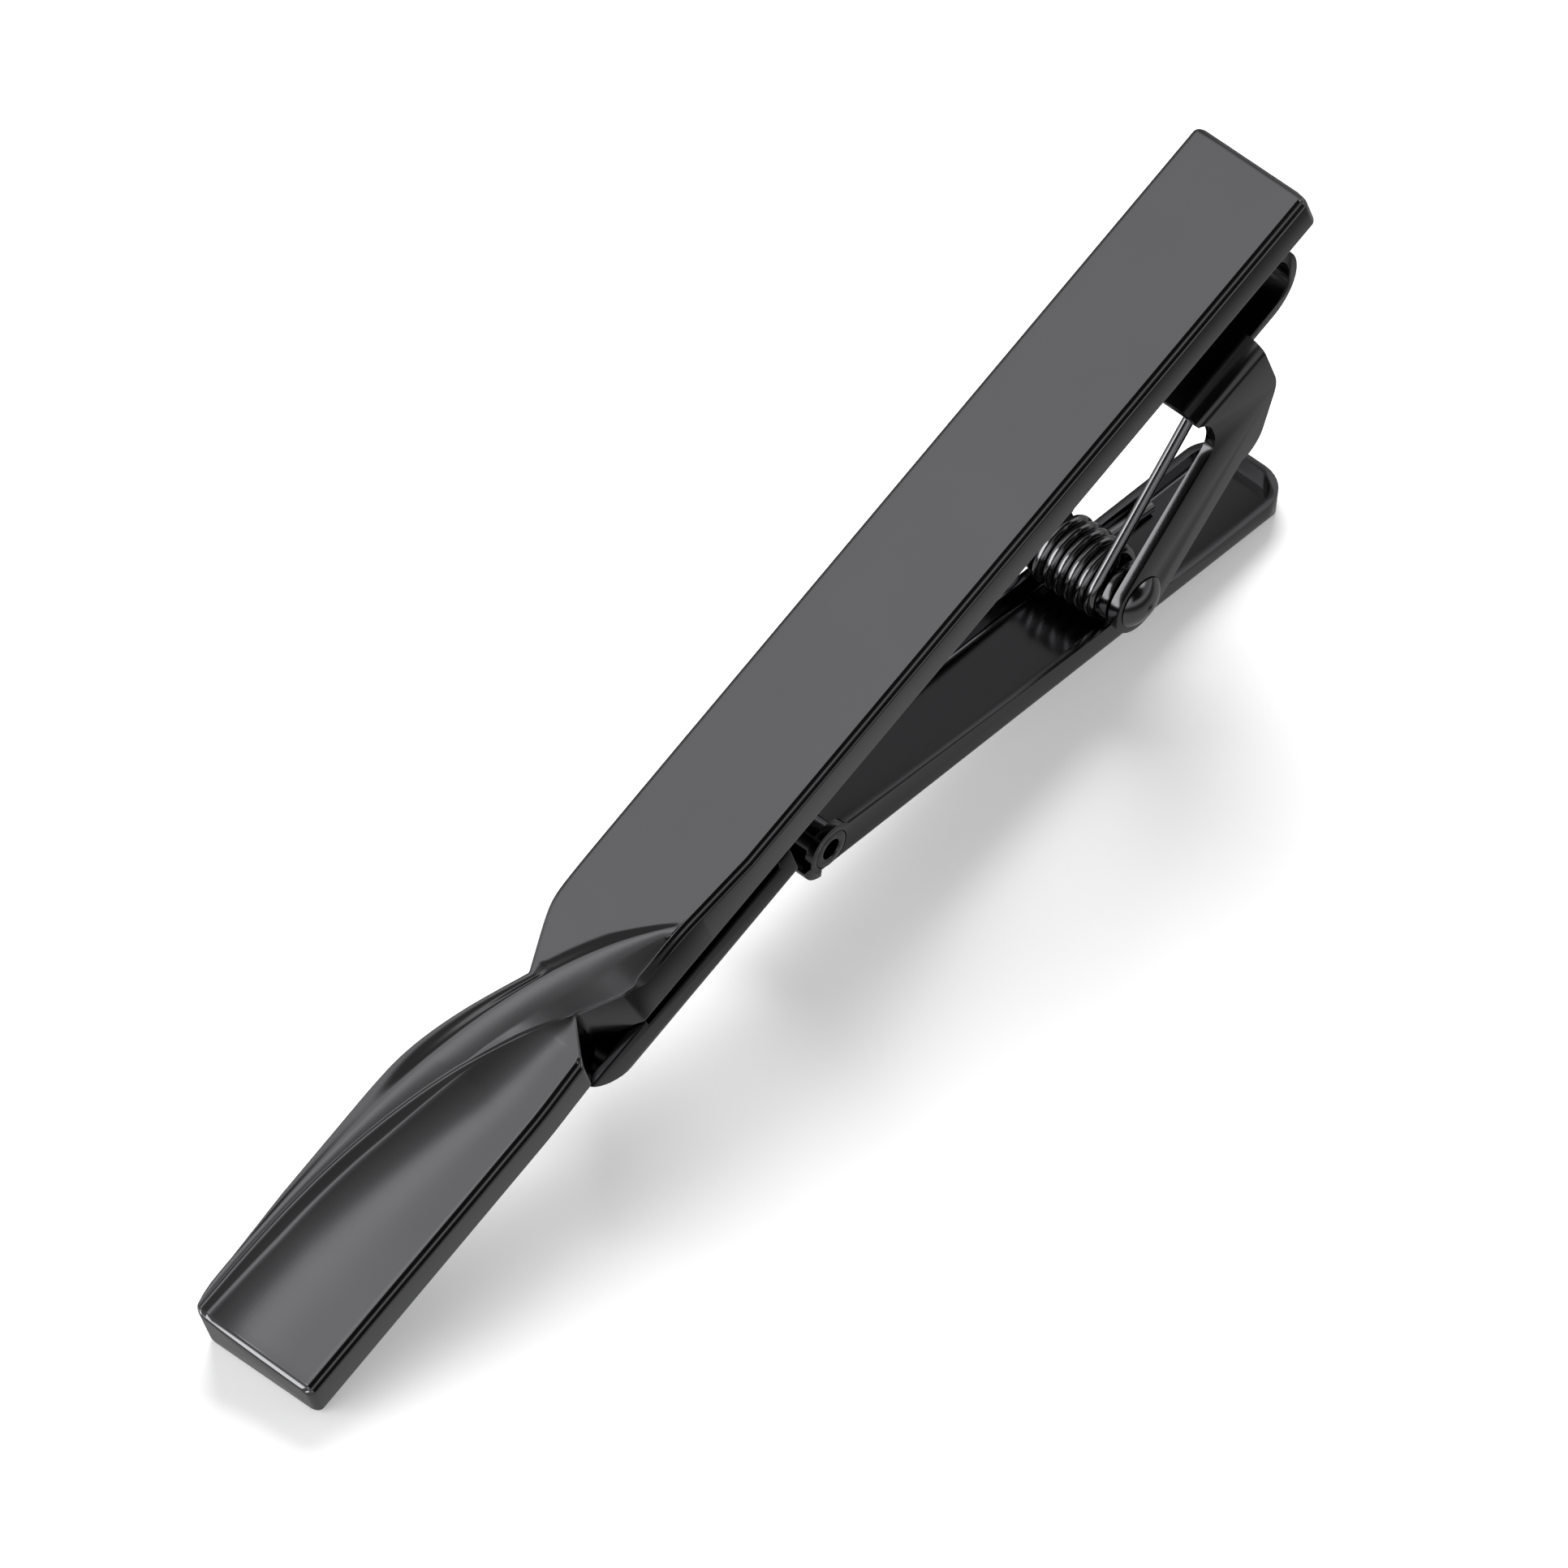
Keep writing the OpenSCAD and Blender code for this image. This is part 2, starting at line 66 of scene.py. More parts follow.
def corners(node):
    """Lowest and highest corner of a CAD node, in millimetres."""
    low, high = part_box(node)
    return np.array(low) / MM, np.array(high) / MM


PIN_LOW, PIN_HIGH = corners("pivot_pin")
PIVOT = (PIN_LOW + PIN_HIGH) / 2
BAR_LOW, BAR_HIGH = corners("front_bar")


# ---------------------------------------------------------------- settings


class TwistBarSettings(bpy.types.PropertyGroup):
    """Sizes of the front bar and its twist, in millimetres"""

    half_length: bpy.props.FloatProperty(
        name="Half length", description="Half the length of the bar", default=29.3
    )
    half_width: bpy.props.FloatProperty(
        name="Half width", description="Half the width of the bar", default=2.7
    )
    thickness: bpy.props.FloatProperty(
        name="Thickness", description="From the flat back to the front face", default=1.9
    )
    bead: bpy.props.FloatProperty(
        name="Bead", description="Width of the stepped bead along the long edges", default=0.3
    )
    end_round: bpy.props.FloatProperty(
        name="End rounding", description="Rounding of the two ends", default=0.3
    )
    waist: bpy.props.FloatProperty(
        name="Waist", description="Place of the twist along the bar", default=-11.3
    )
    notch_left: bpy.props.FloatProperty(
        name="Left notch", description="How far the left notch cuts in", default=1.3
    )
    notch_right: bpy.props.FloatProperty(
        name="Right notch", description="How far the right notch cuts in", default=1.5
    )
    ridge: bpy.props.FloatProperty(
        name="Ridge", description="Height of the ridge's crest over the front face", default=0.6
    )
    bead_left: bpy.props.FloatProperty(
        name="Left bead", description="Width of the finer bead along the left edge", default=0.14
    )
    flank: bpy.props.FloatProperty(
        name="Flank", description="How far the leaf's left edge lies below the crest", default=0.16
    )
    leaf_drop: bpy.props.FloatProperty(
        name="Leaf drop", description="Depth of the leaf's right edge below the face", default=0.12
    )
    flare: bpy.props.FloatProperty(
        name="Flare", description="How far the leaf's left rim stands out", default=0.3
    )


class SpringSettings(bpy.types.PropertyGroup):
    """Sizes of the torsion spring, in millimetres"""

    wire: bpy.props.FloatProperty(name="Wire", description="Radius of the wire", default=0.23)
    coil: bpy.props.FloatProperty(
        name="Coil", description="Radius of the coil to the middle of the wire", default=1.3
    )
    pitch: bpy.props.FloatProperty(
        name="Pitch", description="From one turn to the next", default=0.5
    )
    turns: bpy.props.IntProperty(name="Turns", description="Whole turns of the coil", default=5)
    leg_down: bpy.props.FloatProperty(
        name="Lower leg", description="Length of the leg on the jaw's floor", default=5.6
    )
    profile: bpy.props.IntProperty(
        name="Profile", description="Points round the wire", default=20
    )


class FinishSettings(bpy.types.PropertyGroup):
    """Colours of the finishes"""

    plate: bpy.props.StringProperty(
        name="Black chrome", description="Colour of the plated parts as sRGB hex", default="757577"
    )
    # The pressed parts' colour is darker than the plate's, partly as painted shade for the parts under
    # the bar
    sheet: bpy.props.StringProperty(
        name="Plated sheet", description="Colour of the pressed parts as sRGB hex", default="5A5A5C"
    )
    # The strap's colour is a darker copy again of the same black chrome
    strap: bpy.props.StringProperty(
        name="Plated strap", description="Colour of the folded strap as sRGB hex", default="3C3C3E"
    )
    wire: bpy.props.StringProperty(
        name="Spring wire", description="Colour of the spring as sRGB hex", default="7C7C7E"
    )
    floor: bpy.props.StringProperty(
        name="Floor", description="Colour of the pale floor as sRGB hex", default="F4F4F4"
    )


class StageSettings(bpy.types.PropertyGroup):
    """The floor, lights and camera"""

    floor_radius: bpy.props.FloatProperty(
        name="Floor radius", description="Radius of the pale floor", default=0.2, unit="LENGTH"
    )
    frame_width: bpy.props.FloatProperty(
        name="Frame width", description="Width seen at the object", default=0.05759, unit="LENGTH"
    )
    lens: bpy.props.FloatProperty(
        name="Lens", description="Focal length in millimetres; long, as the photo is flat", default=1200
    )


# ---------------------------------------------------------------- helpers


def linear(hex_colour):
    """An sRGB hex colour as linear RGBA."""
    channels = [int(hex_colour[i : i + 2], 16) / 255 for i in (0, 2, 4)]
    return [c / 12.92 if c <= 0.04045 else ((c + 0.055) / 1.055) ** 2.4 for c in channels] + [1.0]


def add_node(tree, kind, links=None, **settings):
    """Adds a node, sets its sockets and properties, and links its inputs from other nodes' outputs."""
    node = tree.nodes.new(kind)
    for name, value in settings.items():
        if name in node.inputs:
            node.inputs[name].default_value = value
        else:
            setattr(node, name, value)
    for name, source in (links or {}).items():
        tree.links.new(source, node.inputs[name])
    return node


def ramp(x, low, high):
    return max(0.0, min(1.0, (x - low) / (high - low)))


def ease(u):
    return u * u * (3 - 2 * u)


def mix(a, b, u):
    return a + (b - a) * u


def new_piece(name, verts, faces, material):
    """A mesh object from points in millimetres."""
    mesh = bpy.data.meshes.new(name)
    mesh.from_pydata([Vector(v) * MM for v in verts], [], faces)
    piece = bpy.data.objects.new(name, mesh)
    bpy.context.collection.objects.link(piece)
    mesh.materials.append(material)
    return piece


SMOOTH_ANGLE, CRISP_ANGLE = 50, 40


def tidy_mesh(piece, sharp_degrees, outward=True):
    """Points the faces outwards, shades them smooth and keeps the edges past sharp_degrees crisp."""
    bm = bmesh.new()
    bm.from_mesh(piece.data)
    if outward:
        bmesh.ops.recalc_face_normals(bm, faces=bm.faces)
    limit = math.radians(sharp_degrees)
    for face in bm.faces:
        face.smooth = True
    for edge in bm.edges:
        edge.smooth = edge.is_manifold and edge.calc_face_angle(0) < limit
    bm.to_mesh(piece.data)
    bm.free()


def applied(piece):
    """Turns the piece's modifiers into a plain mesh."""
    bpy.context.view_layer.update()
    graph = bpy.context.evaluated_depsgraph_get()
    mesh = bpy.data.meshes.new_from_object(piece.evaluated_get(graph))
    piece.modifiers.clear()
    piece.data = mesh
    return piece


def loft_faces(rings, count):
    """Quads between rings of points, with a fan from a middle point on each end."""
    faces = []
    for j in range(rings - 1):
        for i in range(count):
            a, b = j * count + i, j * count + (i + 1) % count
            faces.append((a, b, b + count, a + count))
    last, first_middle = (rings - 1) * count, rings * count
    for i in range(count):
        k = (i + 1) % count
        faces.append((k, i, first_middle))
        faces.append((last + i, last + k, first_middle + 1))
    return faces


# ---------------------------------------------------------------- finishes


# Smudges about 4 mm across vary the roughness between a clean plated mirror's and a handled one's
SMUDGE = 4 * MM
# Buffing lines: the real ones, about 0.02 mm apart, are drawn at 0.08 mm to show
BUFF_LENGTH, BUFF_PITCH, BUFF_DEPTH = 2.5 * MM, 0.08 * MM, 0.01 * MM
HAZE = (0.12, 0.2)
TONE = (0.94, 1.06)


def black_chrome(name, colour, scratch):
    """Black chrome plate over polished brass: a dark mirror, a little hazy, with faint buffing lines
    along the part and slight smudges where the haze changes."""
    material = bpy.data.materials.get(name) or bpy.data.materials.new(name)
    material.use_nodes = True
    tree = material.node_tree
    tree.nodes.clear()
    place = add_node(tree, "ShaderNodeTexCoord").outputs["Object"]
    # Smudges change the haze and the tone a little
    smudge = add_node(tree, "ShaderNodeTexNoise", {"Vector": place}, Scale=1 / SMUDGE, Detail=3.0)
    haze = add_node(
        tree,
        "ShaderNodeMapRange",
        {"Value": smudge.outputs["Fac"]},
        **{"To Min": HAZE[0], "To Max": HAZE[1]},
    )
    tone = add_node(tree, "ShaderNodeMix", {"Factor": smudge.outputs["Fac"]}, data_type="RGBA")
    base = linear(colour)
    for socket, share in zip("AB", TONE):
        tone.inputs[socket].default_value = [min(1, share * c) for c in base[:3]] + [1]
    # Buffing lines run along the bar
    pattern = (1 / BUFF_LENGTH, 1 / BUFF_PITCH, 1 / BUFF_PITCH)
    stretch = add_node(tree, "ShaderNodeMapping", {"Vector": place}, Scale=pattern)
    lines = add_node(
        tree, "ShaderNodeTexNoise", {"Vector": stretch.outputs["Vector"]}, Scale=1.0, Detail=2.0
    )
    bump = add_node(
        tree, "ShaderNodeBump", {"Height": lines.outputs["Fac"]}, Strength=scratch, Distance=BUFF_DEPTH
    )
    shader = add_node(
        tree,
        "ShaderNodeBsdfPrincipled",
        {
            "Base Color": tone.outputs["Result"],
            "Roughness": haze.outputs["Result"],
            "Normal": bump.outputs["Normal"],
        },
        Metallic=1.0,
    )
    add_node(tree, "ShaderNodeOutputMaterial", {"Surface": shader.outputs["BSDF"]})
    return material


def finish(which):
    colours = bpy.context.scene.tie_clip_finish
    # Copies of one black chrome: the sheet's darker tone is partly painted shade for the parts under
    # the bar, and the strap's is darker still
    name, colour, scratch = {
        "plate": ("polished black chrome plate", colours.plate, 0.04),
        "sheet": ("black chrome on pressed sheet with painted shade", colours.sheet, 0.06),
        "strap": ("black chrome on folded strap", colours.strap, 0.06),
        "wire": ("black plated spring wire", colours.wire, 0.1),
    }[which]
    return black_chrome(name, colour, scratch)


# ---------------------------------------------------------------- front bar


class TwistCurves:
    """The feature curves that cross the twist, in millimetres. t is how far a place lies past the waist
    towards the leaf's end, and each span gives the two values of t between which something changes."""

    # The notches: lead-in, vertex and way out
    left_in, left_out, left_corner = (-2.5, 0.25), (0.25, 6.5), 0.3
    right_in, right_out, vertex = (-2, 0.6), (0.6, 2), 0.6
    # The leaf's far corner is drawn in, first slightly and then more
    tip_span, tip_draw = (12.5, 15.5), 0.1
    corner_span, corner_draw = (16.5, 18), 0.25
    # The right wall leans in near the notch
    lean_span, wall_lean, cut_lean, full_cut = (-8.3, -3.3), 0.28, 0.22, 0.5
    flare_span = (1.5, 5)
    # The crest starts at the right edge and runs towards the left one
    crest_start, crest_travel, crest_reach, crest_y0 = 5, 5.7, 5.9, -2.7
    crest_rise, crest_swell = (-4.5, 5), 0.7
    # The fold beside the crest, and the foot of the crest's far flank
    fold_near, fold_far, fold_span = 0.25, 1.1, (-4.2, -1)
    foot_near, foot_far, foot_span = 0.3, 0.95, (-4.8, -2.6)
    foot_spread, spread_span = 0.6, (-0.5, 0.8)
    # The crease, in shares of the half width
    crease_span, crease_y0, crease_travel, crease_bend = (-0.6, 18), -0.7, 1.63, 2.7
    # The leaf's right edge drops, with a hump and a slight sag by the notch
    drop_span, hump_reach, hump_share, hump_span = (-5, -2), 3.4, 0.5, (-1.5, 0.6)
    sag, sag_on, sag_off = 0.05, (0.6, 6), (8, 15)
    # The leaf's right part grows steeper towards the end, in degrees
    leaf_near, leaf_far, leaf_span = 2.5, 4.2, (6, 14)
    # The leaf's left edge rises almost to the crest
    rim_rise, rim_span, rim_sunk = (0, 8), (3, 8), 0.04
    # The beads grow finer beside the cuts
    left_bead_less, left_bead_span = 0.8, (-1, 3)
    right_bead_left, right_bead_cut = 0.25, 0.3
    plain_on, plain_off = (-4.3, -2.6), (0.6, 1.6)

    def __init__(self, s):
        self.s = s

    def left_cut(self, t):
        if t < self.left_in[1]:
            cut = self.s.notch_left * (t - self.left_in[0]) / (self.left_in[1] - self.left_in[0])
            return (cut + math.hypot(cut, self.left_corner)) / 2
        turn = math.pi / 2 * ramp(t, *self.left_out)
        drawn = self.tip_draw * ramp(t, *self.tip_span)
        drawn += self.corner_draw * ramp(t, *self.corner_span) ** 2
        return drawn + self.s.notch_left - (self.s.notch_left + self.s.flare) * math.sin(turn)

    def right_cut(self, t):
        return self.s.notch_right * ramp(t, *self.right_in) * (1 - ramp(t, *self.right_out))

    def lean(self, t):
        """How far the right wall leans in at its top as it nears the notch."""
        wall = self.wall_lean * ease(ramp(t, *self.lean_span))
        cut = self.cut_lean * ease(ramp(self.right_cut(t), 0, self.full_cut))
        return (wall + cut) * (1 - ease(ramp(t, *self.right_out)))

    def leaf_flare(self, t):
        return self.s.flare / 3 * ease(ramp(t, *self.flare_span))

    def side_left(self, t):
        return self.s.half_width - self.left_cut(t)

    def side_right(self, t):
        return -self.s.half_width + max(self.lean(t), self.right_cut(t)) - self.leaf_flare(t)

    def foot_right(self, t):
        return -self.s.half_width + max(0, self.right_cut(t) - self.lean(t)) - self.leaf_flare(t)

    def crest_y(self, t):
        run = max(0, self.crest_start + t) / self.crest_reach
        return self.crest_y0 + self.crest_travel * (1 - math.exp(-run))

    def crease_y(self, t):
        if t < self.crease_span[0]:
            return -self.s.half_width
        arch = 1 - (1 - ramp(t, *self.crease_span)) ** self.crease_bend
        return self.s.half_width * (self.crease_y0 + self.crease_travel * arch)

    def fold_y(self, t):
        return self.crest_y(t) - mix(self.fold_near, self.fold_far, ramp(t, *self.fold_span))

    def foot_y(self, t):
        out = mix(self.foot_near, self.foot_far, ramp(t, *self.foot_span))
        return self.crest_y(t) + out + self.foot_spread * ramp(t, *self.spread_span)

    def crest_z(self, t):
        return self.s.thickness + self.s.ridge * ramp(t, *self.crest_rise) ** self.crest_swell

    def right_z(self, t):
        hump = ease(max(0, 1 - abs(t - self.vertex) / self.hump_reach))
        if t > self.vertex:
            hump *= self.hump_share
        else:
            hump -= self.hump_share * ease(ramp(t, *self.hump_span))
        sag = self.sag * ease(ramp(t, *self.sag_on)) * (1 - ease(ramp(t, *self.sag_off)))
        return self.s.thickness - self.s.leaf_drop * (ease(ramp(t, *self.drop_span)) - hump) - sag

    def leaf_slope(self, t):
        """Slope across the right part of the leaf; the rest of its fall lies beside the crease."""
        return math.tan(math.radians(mix(self.leaf_near, self.leaf_far, ramp(t, *self.leaf_span))))

    def left_z(self, t):
        sunk = mix(self.s.flank, self.rim_sunk, ease(ramp(t, *self.rim_span)))
        return self.s.thickness + (self.s.ridge - sunk) * ease(ramp(t, *self.rim_rise))

    def bead_left(self, t):
        return self.s.bead_left * (1 - self.left_bead_less * ease(ramp(t, *self.left_bead_span)))

    def bead_right(self, t):
        share = ease(ramp(self.right_cut(t), 0, self.right_bead_cut))
        return self.s.bead * mix(1, self.right_bead_left, share)

    def bead_plain(self, t):
        """1 where the right bead has run out into one plain slope."""
        return ease(ramp(t, *self.plain_on)) * (1 - ease(ramp(t, *self.plain_off)))


# Least width of a strip of the profile, which keeps every section's points apart
LEAST = 0.015
# The stepped bead, as shares of its width: outwards and down
BEAD = [(0.3, 0.38), (0.66, 0.42), (0.96, 0.84), (1, 1.1)]
PLAIN_FALL = 0.62
FOOT_ROUND = 0.12
# Falls from the crest to the fold and from the fold to the crease; both grow with the crest's height
CREST_FALL, FLANK_FALL, FULL_RELIEF = 0.15, 0.2, 0.1
FLANK_SPAN = (-1.2, 1.5)
# A fine ledge runs along the crease
LEDGE_WIDTH, LEDGE_RISE, LEDGE_SPAN = 0.1, 0.03, (1, 2.5)
LIP_PLACE, LIP_LOW, LIP_LOWER = 0.4, 0.5, 0.4
# Beside it the leaf has a strip, and then a fine level line
STRIP_WIDTH, STRIP_ON, STRIP_LESS, STRIP_OFF = 0.42, (2, 9), 0.4, (14, 18)
LINE_WIDTH, LINE_ON = 0.045, (3, 6)
HOLLOW_POWER, HOLLOW_SPAN = (3, 4), (5, 15)
# Steps and shape of each run of the profile, from the left edge to the crease
RUNS = [
    (4, lambda u: u),
    (24, lambda u: ease(u**1.4)),
    (16, lambda u: u**1.4),
    (6, lambda u: u),
    (1, lambda u: u),
    (2, lambda u: u),
]


def front_profile(curves, t):
    """Points across the front face, from the left bead to the right one, as (y, z)."""
    yl = curves.side_left(t) - curves.bead_left(t)
    yr = curves.side_right(t) + curves.bead_right(t)
    # From right to left: crease, ledge, fold, crest and the foot of the far flank, kept in this order
    ledge = ramp(t, *LEDGE_SPAN)
    yc = min(yl - 6 * LEAST, max(yr + LEAST, curves.crease_y(t)))
    yf = min(yl - 4 * LEAST, max(yc + 2 * LEAST + LEDGE_WIDTH * ledge, curves.fold_y(t)))
    yg = min(yl - 3 * LEAST, max(yf + LEAST, curves.crest_y(t)))
    yv = min(yl - LEAST, max(yg + LEAST, curves.foot_y(t)))
    yh = min(yf, yc + LEAST + LEDGE_WIDTH * ledge)
    zl, zg, zr = curves.left_z(t), curves.crest_z(t), curves.right_z(t)
    relief = min(1, (zg - curves.s.thickness) / FULL_RELIEF)
    zf = zg - CREST_FALL * relief * (yg - yf)
    zc = mix(zr, zf - FLANK_FALL * (yf - yc), ease(ramp(t, *FLANK_SPAN)))
    zh = min(zf, zc + FLANK_FALL * relief * (yh - yc) + LEDGE_RISE * ledge)
    lip = (mix(yh, yc, LIP_PLACE), mix(zh, zc, LIP_LOW + LIP_LOWER * ledge))
    stops = [(yl, zl), (yv, zl), (yg, zg), (yf, zf), (yh + 0.2 * LEAST, zh), lip, (yc, zc)]
    points = [stops[0]]
    for (ya, za), (yb, zb), (steps, shape) in zip(stops, stops[1:], RUNS):
        for i in range(1, steps + 1):
            points.append((mix(ya, yb, i / steps), mix(za, zb, shape(i / steps))))
    return points + leaf_profile(curves, t, (yc, zc), (yr, zr))


def leaf_profile(curves, t, crease, edge):
    """The scooped leaf: a strip beside the crease, a fine level line, then a hollow to its edge."""
    (yc, zc), (yr, zr) = crease, edge
    fall, wide = zc - zr, max(LEAST, yc - yr)
    even = min(fall, curves.leaf_slope(t) * wide)
    power = mix(*HOLLOW_POWER, ramp(t, *HOLLOW_SPAN))
    shown = ease(ramp(t, *LINE_ON))
    strip = STRIP_WIDTH * ease(ramp(t, *STRIP_ON)) * (1 - STRIP_LESS * ramp(t, *STRIP_OFF))
    strip, line = max(LEAST, strip), max(LEAST, LINE_WIDTH * shown)
    # The line's two sides, as shares of the leaf's width from its right edge
    left, right = max(0.3, 1 - strip / wide), max(0.2, 1 - (strip + line) / wide)
    steep = even + power * (fall - even) * left ** (power - 1)
    lift = steep * (left - right) * shown

    def point(u, raised=0.0):
        return mix(yr, yc, u), zr + even * u + (fall - even) * u**power + lift * raised

    points = [point(mix(1, left, i / 6)) for i in range(1, 7)]
    points += [point(mix(left, right, i / 2), i / 2) for i in (1, 2)]
    points += [point(right * (1 - i / 24), (1 - i / 24) ** 2) for i in range(1, 25)]
    return points


def softened(points, radius, steps):
    """Each corner of a closed run of (y, z) points becomes a small arc, within its two sides."""
    result = []
    count = len(points)
    for i, (p, r) in enumerate(zip(points, radius)):
        p = Vector(p)
        if r <= 0:
            result.append(tuple(p))
            continue
        before, after = Vector(points[i - 1]), Vector(points[(i + 1) % count])
        a = p + (before - p).normalized() * min(r, 0.45 * (before - p).length)
        b = p + (after - p).normalized() * min(r, 0.45 * (after - p).length)
        for k in range(steps + 1):
            u = k / steps
            result.append(tuple((1 - u) ** 2 * a + 2 * u * (1 - u) * p + u * u * b))
    return result


# The end faces are drawn in a little: across, and towards the middle of the thickness
END_DRAW_Y, END_DRAW_Z = 0.12, 0.17
# Softening of the edges and of the foot's corners
EDGE_SOFT, FOOT_SOFT, SOFT_STEPS = 0.03, 0.08, 3
# Sections lie closest between these two places past the waist
TWIST_SPAN, TWIST_SECTIONS, PLAIN_SECTIONS, END_SECTIONS = (-5.2, 12), 190, 14, 8


def bar_section(curves, x, drop):
    """One closed section of the bar at x. drop is 1 on the end face and 0 past its rounding."""
    s = curves.s
    t = s.waist - x
    front = front_profile(curves, t)
    (yl, zl), (yr, zr) = front[0], front[-1]
    bead, plain = curves.bead_right(t), curves.bead_plain(t)
    right = [(yr - bead * out, zr - bead * mix(down, PLAIN_FALL * out, plain)) for out, down in BEAD]
    bead = curves.bead_left(t)
    left = [(yl + bead * out, zl - bead * down) for out, down in reversed(BEAD)]
    foot = [
        (curves.foot_right(t), FOOT_ROUND),
        (curves.foot_right(t) + FOOT_ROUND, 0),
        (yl + bead - FOOT_ROUND, 0),
        (yl + bead, FOOT_ROUND),
    ]
    radius = [EDGE_SOFT] + [0] * (len(front) - 2) + [EDGE_SOFT]
    radius += [EDGE_SOFT] * len(right) + [FOOT_SOFT] * len(foot) + [EDGE_SOFT] * len(left)
    section = softened(front + right + foot + left, radius, SOFT_STEPS)
    middle = s.thickness / 2
    return [(x, y * (1 - END_DRAW_Y * drop), mix(z, middle, END_DRAW_Z * drop)) for y, z in section]


def bar_stations(s):
    """Places of the sections, closest over the twist, each with its end drop."""
    turns = [math.pi / 2 * i / END_SECTIONS for i in range(END_SECTIONS)]
    rounded = [(s.end_round * (1 - math.cos(turn)), 1 - math.sin(turn)) for turn in turns]
    high, low = (s.waist - t for t in TWIST_SPAN)
    end = s.half_length - s.end_round
    straight = np.linspace(end, high, PLAIN_SECTIONS)[:-1]
    twisted = np.linspace(high, low, TWIST_SECTIONS)
    leaf = np.linspace(low, -end, PLAIN_SECTIONS)[1:]
    places = [(s.half_length - offset, drop) for offset, drop in rounded]
    places += [(x, 0.0) for x in [*straight, *twisted, *leaf]]
    places += [(offset - s.half_length, drop) for offset, drop in reversed(rounded)]
    return places


class TIECLIP_OT_front_bar(bpy.types.Operator):
    """Builds the twisted front bar as one smooth skin"""

    bl_idname = "tie_clip.front_bar"
    bl_label = "Front bar"

    def execute(self, context):
        curves = TwistCurves(context.scene.tie_clip_bar)
        rings = [bar_section(curves, x, drop) for x, drop in bar_stations(curves.s)]
        count = len(rings[0])
        verts = [p for ring in rings for p in ring]
        for ring in (rings[0], rings[-1]):
            verts.append(tuple(np.array([np.min(ring, 0), np.max(ring, 0)]).mean(0)))
        bar = new_piece("front_bar_plated", verts, loft_faces(len(rings), count), finish("plate"))
        tidy_mesh(bar, SMOOTH_ANGLE)
        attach(bar, "bar")
        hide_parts("front_bar")
        return {"FINISHED"}


# ---------------------------------------------------------------- pressed parts


# Welding distance in millimetres; faces that turn by less than the flat angle are merged, and edges
# that turn by more than the eased angle are rounded
WELD, FLAT_ANGLE, EASED_ANGLE = 0.0005, 0.6, 32


def pressed(node, name, edge, plate="sheet"):
    """A CAD part's own shape with its edges eased by edge millimetres, as tumbling and plating do."""
    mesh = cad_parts[node].data.copy()
    mesh.materials.clear()
    mesh.materials.append(finish(plate))
    piece = bpy.data.objects.new(name, mesh)
    bpy.context.collection.objects.link(piece)
    bm = bmesh.new()
    bm.from_mesh(mesh)
    bmesh.ops.remove_doubles(bm, verts=bm.verts, dist=WELD * MM)
    flat = math.radians(FLAT_ANGLE)
    bmesh.ops.dissolve_limit(bm, angle_limit=flat, verts=bm.verts, edges=bm.edges)
    bm.to_mesh(mesh)
    bm.free()
    bevel = piece.modifiers.new("eased edges", "BEVEL")
    bevel.width, bevel.segments = edge * MM, 3
    bevel.limit_method, bevel.angle_limit = "ANGLE", math.radians(EASED_ANGLE)
    bevel.use_clamp_overlap = True
    applied(piece)
    tidy_mesh(piece, CRISP_ANGLE, outward=False)
    return piece


class TIECLIP_OT_back_strap(bpy.types.Operator):
    """Builds the hollow strap behind the twist"""

    bl_idname = "tie_clip.back_strap"
    bl_label = "Back strap"

    def execute(self, context):
        strap = pressed("back_strap", "back_strap_plated", 0.06, "strap")
        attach(strap, "bar")
        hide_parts("back_strap")
        return {"FINISHED"}


class TIECLIP_OT_spring_bracket(bpy.types.Operator):
    """Builds the folded bracket that holds the pin"""

    bl_idname = "tie_clip.spring_bracket"
    bl_label = "Spring bracket"

    def execute(self, context):
        bracket = pressed("spring_bracket", "spring_bracket_plated", 0.1)
        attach(bracket, "bar")
        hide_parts("spring_bracket")
        return {"FINISHED"}


class TIECLIP_OT_pivot_pin(bpy.types.Operator):
    """Builds the pin with its two domed heads"""

    bl_idname = "tie_clip.pivot_pin"
    bl_label = "Pivot pin"

    def execute(self, context):
        pin = pressed("pivot_pin", "pivot_pin_plated", 0.06, "plate")
        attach(pin, "bar")
        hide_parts("pivot_pin")
        return {"FINISHED"}


class TIECLIP_OT_jaw(bpy.types.Operator):
    """Builds the jaw and the hollow roll at its tip"""

    bl_idname = "tie_clip.jaw"
    bl_label = "Jaw"

    def execute(self, context):
        for node, name, edge in (
            ("jaw", "jaw_plated", 0.09),
            ("tip_roll", "tip_roll_plated", 0.05),
        ):
            piece = pressed(node, name, edge)
            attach(piece, "jaw_body")
            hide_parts(node)
        return {"FINISHED"}


# ---------------------------------------------------------------- spring


# The plate that the upper leg presses, the jaw's floor under the pin, and the jaw's tilt at rest
HOOK_X, PLATE_Z, HOOK_GAP = 24.75, -3.7, 0.02
FLOOR_DEPTH, LEG_GAP, JAW_TILT = 2.13, 0.05, 24
TURN_STEPS, UPPER_STEPS, LOWER_STEPS = 40, 24, 16


